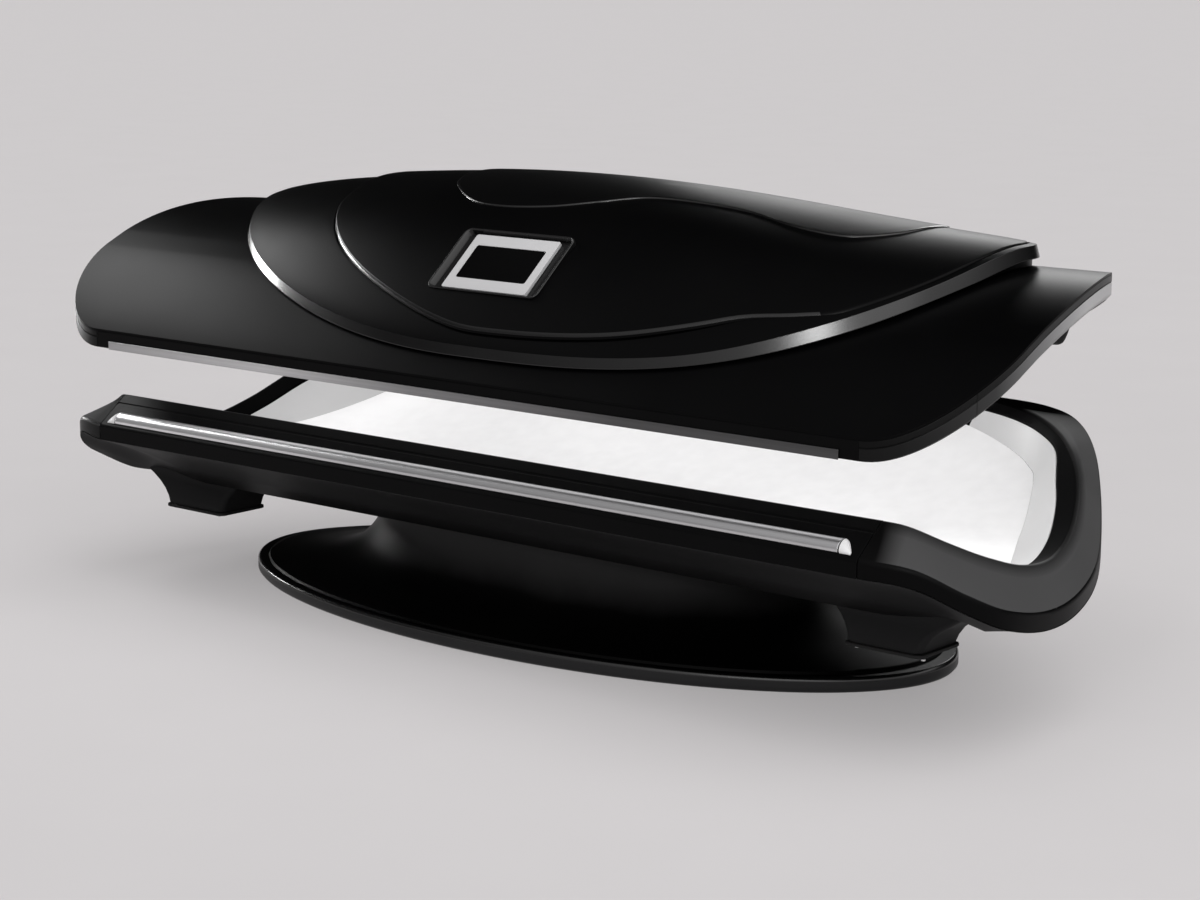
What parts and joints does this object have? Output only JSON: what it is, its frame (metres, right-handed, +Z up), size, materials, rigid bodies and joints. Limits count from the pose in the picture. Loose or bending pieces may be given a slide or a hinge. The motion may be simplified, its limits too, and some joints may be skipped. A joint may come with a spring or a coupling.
{
  "type": "light therapy bed",
  "caption": "Lay-down light therapy bed: curved bench with opal acrylic trough on an oval pedestal, under a hinged clamshell canopy with cowl, screen and silver trim.",
  "frame": {"origin": "bottom centre of the bounding box, on the floor under the pedestal", "axes": "+X along the bed to its right end as seen from the user's side, -Y toward the user's side where the canopy opens, +Z up"},
  "size_m": [2.3034, 1.0355, 0.8866],
  "materials": {
    "satin_black": "satin moulded shell",
    "gloss_black": "semi-gloss moulding",
    "graphite": "satin dark grey moulding",
    "coated_steel": "powder coat",
    "brushed_aluminium": "satin drawn profile",
    "silver_trim": "satin strip",
    "pale_plug": "satin plug",
    "opal_acrylic": "opal, lit from behind",
    "white_filler": "satin white",
    "sheet_metal": "bright sheet",
    "led_board": "white solder mask",
    "supply_case": "plain sheet",
    "rubber": "matt",
    "zinc_screw": "zinc",
    "screen_glass": "black glass",
    "screen_bezel": "satin silver grey",
    "fan_plastic": "moulded"
  },
  "bodies": {
    "bench": {"bench_acrylic": "opal_acrylic", "bench_end_filler_left": "white_filler", "bench_end_filler_right": "white_filler", "bench_end_rim_left": "graphite", "bench_end_rim_right": "graphite", "bench_frame": "coated_steel", "bench_hull": "satin_black", "bench_led_board": "led_board", "bench_light_tray": "sheet_metal", "foot_sole_left": "rubber", "foot_sole_right": "rubber", "front_rail": "gloss_black", "front_trim_strip": "brushed_aluminium", "hinge_bracket_left": "coated_steel", "hinge_bracket_right": "coated_steel", "hinge_pin_left": "zinc_screw", "hinge_pin_right": "zinc_screw", "mains_gland": "fan_plastic", "pedestal_floor_plate": "satin_black", "pedestal_frame": "coated_steel", "pedestal_skirt": "satin_black", "power_supply_left": "supply_case", "power_supply_right": "supply_case", "rear_rail": "gloss_black", "sole_screw_left_inner": "zinc_screw", "sole_screw_left_outer": "zinc_screw", "sole_screw_right_inner": "zinc_screw", "sole_screw_right_outer": "zinc_screw", "stub_foot_left": "satin_black", "stub_foot_right": "satin_black", "trim_cap_left": "pale_plug", "trim_cap_right": "pale_plug"},
    "canopy": {"canopy_acrylic": "opal_acrylic", "canopy_bumper_left": "rubber", "canopy_bumper_right": "rubber", "canopy_corner_left": "gloss_black", "canopy_corner_right": "gloss_black", "canopy_end_trim_left": "graphite", "canopy_end_trim_right": "graphite", "canopy_front_rail": "gloss_black", "canopy_led_board": "led_board", "canopy_light_tray": "sheet_metal", "canopy_rear_rail": "graphite", "canopy_rib_left": "coated_steel", "canopy_rib_middle": "coated_steel", "canopy_rib_right": "coated_steel", "canopy_skin": "satin_black", "canopy_trim_strip": "silver_trim", "fan_housing_left": "fan_plastic", "fan_housing_right": "fan_plastic", "hinge_arm_left": "coated_steel", "hinge_arm_right": "coated_steel", "inner_cowl": "satin_black", "outer_cowl": "satin_black", "screen_bezel": "screen_bezel", "screen_frame": "gloss_black", "top_panel": "gloss_black", "touch_screen": "screen_glass"},
    "left_fan": {"fan_rotor_left": "fan_plastic"},
    "right_fan": {"fan_rotor_right": "fan_plastic"}
  },
  "joints": [
    {"name": "canopy_hinge", "type": "hinge", "parent": "bench", "child": "canopy", "pos_m": [0, 0.5048, 0.49498], "axis": [-1, 0, 0], "range_deg": [0, 50]},
    {"name": "left_fan_spin", "type": "hinge", "parent": "canopy", "child": "left_fan", "pos_m": [-0.3, 0, 0.7959], "axis": [0, 0, 1], "continuous": true},
    {"name": "right_fan_spin", "type": "hinge", "parent": "canopy", "child": "right_fan", "pos_m": [0.3, 0, 0.7959], "axis": [0, 0, 1], "continuous": true}
  ]
}
